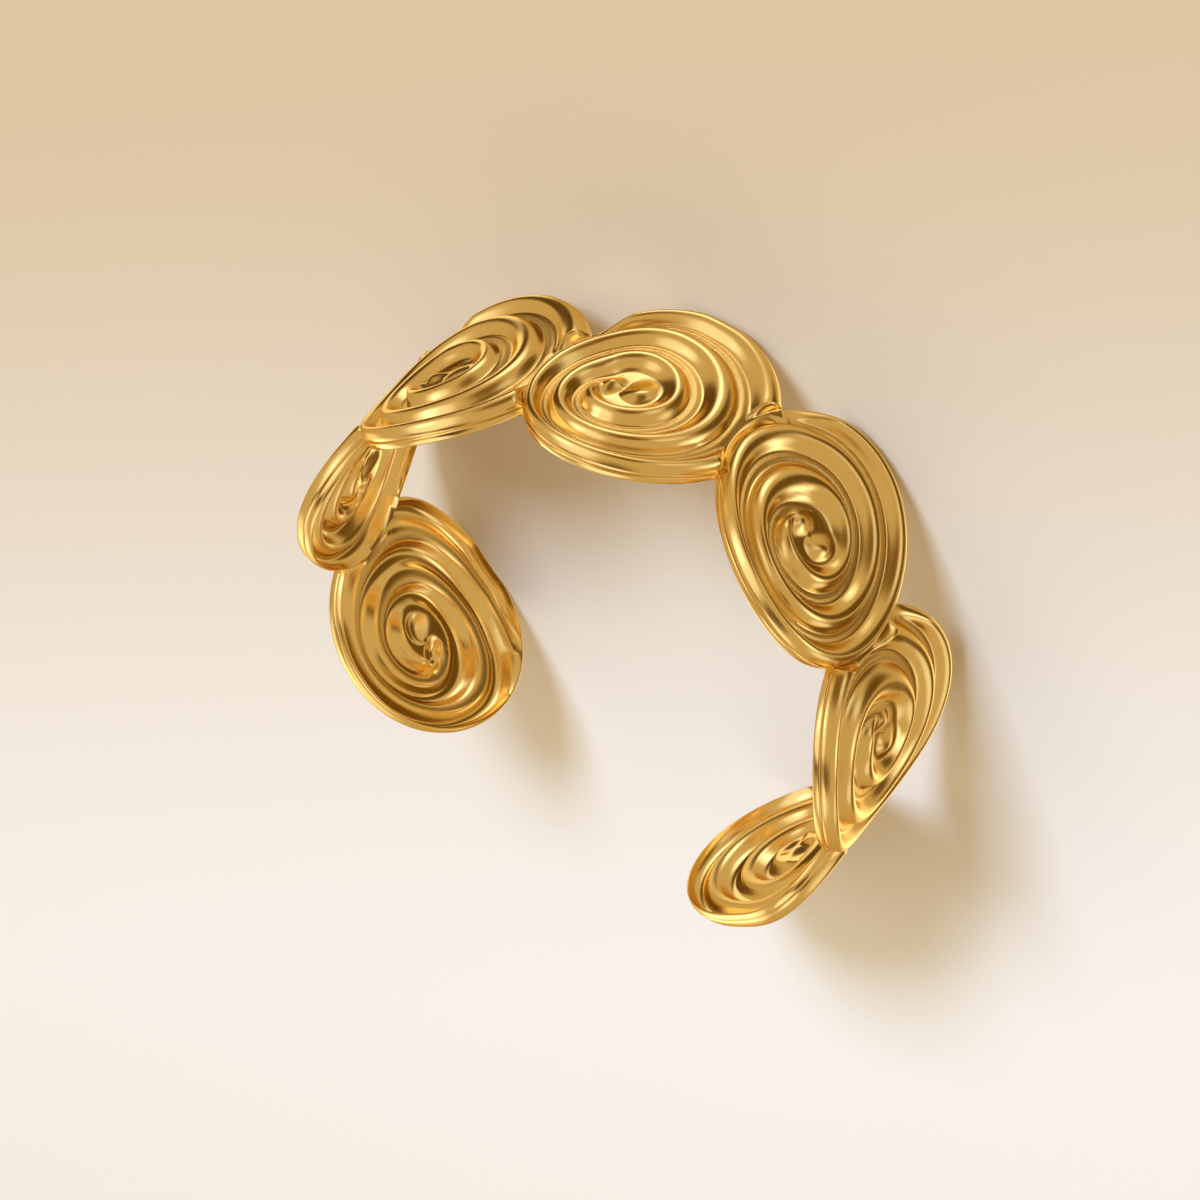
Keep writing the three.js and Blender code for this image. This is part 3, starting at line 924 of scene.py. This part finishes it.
@dataclass
class Studio:
    """The board, the soft lights, the room round them and the camera.

    The board is in metres, the aim and the camera's distance are in millimetres, and the glows'
    angles, spreads and soft edges in degrees.
    """

    board: float = 3.0
    room: float = 0.6
    room_colour: str = "FFDC9C"
    aim: tuple[float, float, float] = (-0.74, -9.99, 22.46)
    azimuth: float = -21.12
    elevation: float = 40.31
    roll: float = -139.54
    distance: float = 600.0
    lens: float = 176.15
    sensor: float = 36.0
    boxes: tuple[SoftBox, ...] = (
        SoftBox("key_box", 20.0, 40.0, 0.9, 0.26, 0.26, 8.4, "C8E0FF"),
        SoftBox("fill_box", -30.0, 80.0, 1.2, 1.0, 1.0, 0.9, "C8DEFF"))
    glows: tuple[Glow, ...] = (
        Glow(-58, -42, 24, 5, "846020", 0.56),
        Glow(-128, -30, 18, 5, "8C6424", 0.65),
        Glow(75, -28, 26, 5, "7C5418", 0.5),
        Glow(-10, 8, 18, 6, "8C6428", 0.7),
        Glow(-116, 69, 17, 5, "7C5418", 0.5),
        Glow(108, 66, 13, 5, "7C5418", 0.5),
        Glow(-88, -8, 14, 4, "FFF0D4", 1.2),
        Glow(-165, -50, 20, 4, "FFF0D4", 1.3),
        Glow(25, -36, 16, 4, "FFF0D4", 1.35),
        Glow(110, -41, 15, 4, "FFF0D4", 1.35),
        Glow(152, 4, 22, 5, "FFF0D4", 1.3),
        Glow(-169, 51, 18, 5, "FFF0D4", 1.3),
        Glow(50, 55, 28, 5, "FFF0D4", 1.1),
        Glow(-38, -6, 12, 4, "FFF0D4", 0.9),
        Glow(-125, 2, 14, 4, "FFF0D4", 1.0),
        Glow(152, 6, 9, 3, "FFF2DC", 2.7),
        Glow(58, 44, 9, 3, "FFF2DC", 2.4),
        Glow(25, -34, 7, 3, "FFF2DC", 2.5),
        Glow(-166, -48, 8, 3, "FFF2DC", 2.5),
        Glow(-92, -8, 6, 3, "FFF2DC", 2.4))

    @staticmethod
    def towards(azimuth: float, elevation: float) -> np.ndarray:
        """The way to a place in the room.

        Args:
            azimuth: Degrees round from -Y, rising towards +X.
            elevation: Degrees up from the board.

        Returns:
            A unit vector.
        """
        az, el = math.radians(azimuth), math.radians(elevation)
        return np.array([math.sin(az) * math.cos(el), -math.cos(az) * math.cos(el),
                         math.sin(el)])

    def frame_of(self, back: np.ndarray, roll: float = 0.0) -> np.ndarray:
        """The axes of a thing that looks along -back.

        Args:
            back: The unit vector behind it.
            roll: Degrees that it is turned about that vector.

        Returns:
            Right, up and back as the columns of a matrix.
        """
        right = np.cross([0.0, 0.0, 1.0], back)
        right /= np.linalg.norm(right)
        up = np.cross(back, right)
        turn = math.radians(roll)
        return np.stack([math.cos(turn) * right + math.sin(turn) * up,
                         math.cos(turn) * up - math.sin(turn) * right, back], 1)

    @staticmethod
    def placed(axes: np.ndarray, at: np.ndarray) -> Matrix:
        """A world matrix.

        Args:
            axes: The three axes as columns.
            at: The place in metres.

        Returns:
            The matrix that puts a thing there.
        """
        matrix = np.eye(4)
        matrix[:3, :3] = axes
        matrix[:3, 3] = at
        return Matrix(matrix.tolist())

    def set_camera(self) -> None:
        """Makes the camera."""
        camera = bpy.data.cameras.new("camera")
        camera.lens, camera.sensor_width = self.lens, self.sensor
        camera.clip_start, camera.clip_end = 0.01, 20.0
        back = self.towards(self.azimuth, self.elevation)
        holder = bpy.data.objects.new("camera", camera)
        at = (np.array(self.aim) + back * self.distance) * MM
        holder.matrix_world = self.placed(self.frame_of(back, self.roll), at)
        bpy.context.scene.collection.objects.link(holder)
        bpy.context.scene.camera = holder

    def set_board(self) -> None:
        """Lays the cream board at z = 0."""
        half = self.board / 2
        mesh = bpy.data.meshes.new("board")
        corners = [[-half, -half, 0], [half, -half, 0], [half, half, 0], [-half, half, 0]]
        mesh.from_pydata(corners, [], [[0, 1, 2, 3]])
        board = bpy.data.objects.new("board", mesh)
        board.data.materials.append(PaintedBoard().material())
        bpy.context.scene.collection.objects.link(board)
        board.visible_glossy = False

    def set_lights(self) -> None:
        """Hangs the soft boxes, which light the board; the gold mirrors the room instead."""
        for box in self.boxes:
            lamp = bpy.data.lights.new(box.name, "AREA")
            lamp.shape, lamp.size, lamp.size_y = "RECTANGLE", box.width, box.height
            lamp.energy, lamp.color = box.power, linear(box.colour)[:3]
            back = self.towards(box.azimuth, box.elevation)
            holder = bpy.data.objects.new(box.name, lamp)
            holder.matrix_world = self.placed(self.frame_of(back), back * box.distance)
            holder.visible_glossy = False
            bpy.context.scene.collection.objects.link(holder)

    def set_room(self) -> None:
        """Paints the room: an even warm light with the glows mixed in, one after another."""
        world = bpy.data.worlds.new("room")
        world.use_nodes = True
        tree = world.node_tree
        tree.nodes.clear()
        way = add_node(tree, "ShaderNodeTexCoord")
        seen = np.array(linear(self.room_colour)[:3]) * self.room
        shown = add_node(tree, "ShaderNodeCombineXYZ",
                         values=dict(enumerate(seen.tolist()))).outputs[0]
        for glow in self.glows:
            toward = self.towards(glow.azimuth, glow.elevation)
            near = add_node(tree, "ShaderNodeVectorMath", {0: way.outputs["Generated"]},
                            {1: toward.tolist()}, operation="DOT_PRODUCT")
            edge = [math.cos(math.radians(glow.spread + q * glow.soft)) for q in (1, -1)]
            part = add_node(tree, "ShaderNodeMapRange", {"Value": near.outputs["Value"]},
                            {"From Min": edge[0], "From Max": edge[1]},
                            interpolation_type="SMOOTHSTEP")
            shine = np.array(linear(glow.colour)[:3]) * glow.strength
            shown = add_node(tree, "ShaderNodeMix", {0: part.outputs[0], 4: shown},
                             {5: shine.tolist()}, data_type="VECTOR").outputs[1]
        shade = add_node(tree, "ShaderNodeBackground", {"Color": shown})
        add_node(tree, "ShaderNodeOutputWorld", {"Surface": shade.outputs[0]})
        bpy.context.scene.world = world

    @staticmethod
    def set_view() -> None:
        """Chooses how light becomes picture tones."""
        view = bpy.context.scene.view_settings
        view.view_transform, view.look = "Standard", "None"


def main() -> None:
    """Builds the studio and the cuff, and logs the cuff's triangle count."""
    logging.basicConfig(level=logging.INFO, format="%(name)s: %(message)s")
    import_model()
    studio = Studio()
    studio.set_camera()
    studio.set_board()
    studio.set_lights()
    studio.set_room()
    studio.set_view()
    cuff = SpiralCuff()
    piece = cuff.build()
    cuff.dress(piece)
    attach(piece, "root")
    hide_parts("spiral_cuff")
    log.info("spiral_cuff_skin: %d triangles", len(piece.data.polygons))


if __name__ == "__main__":
    main()
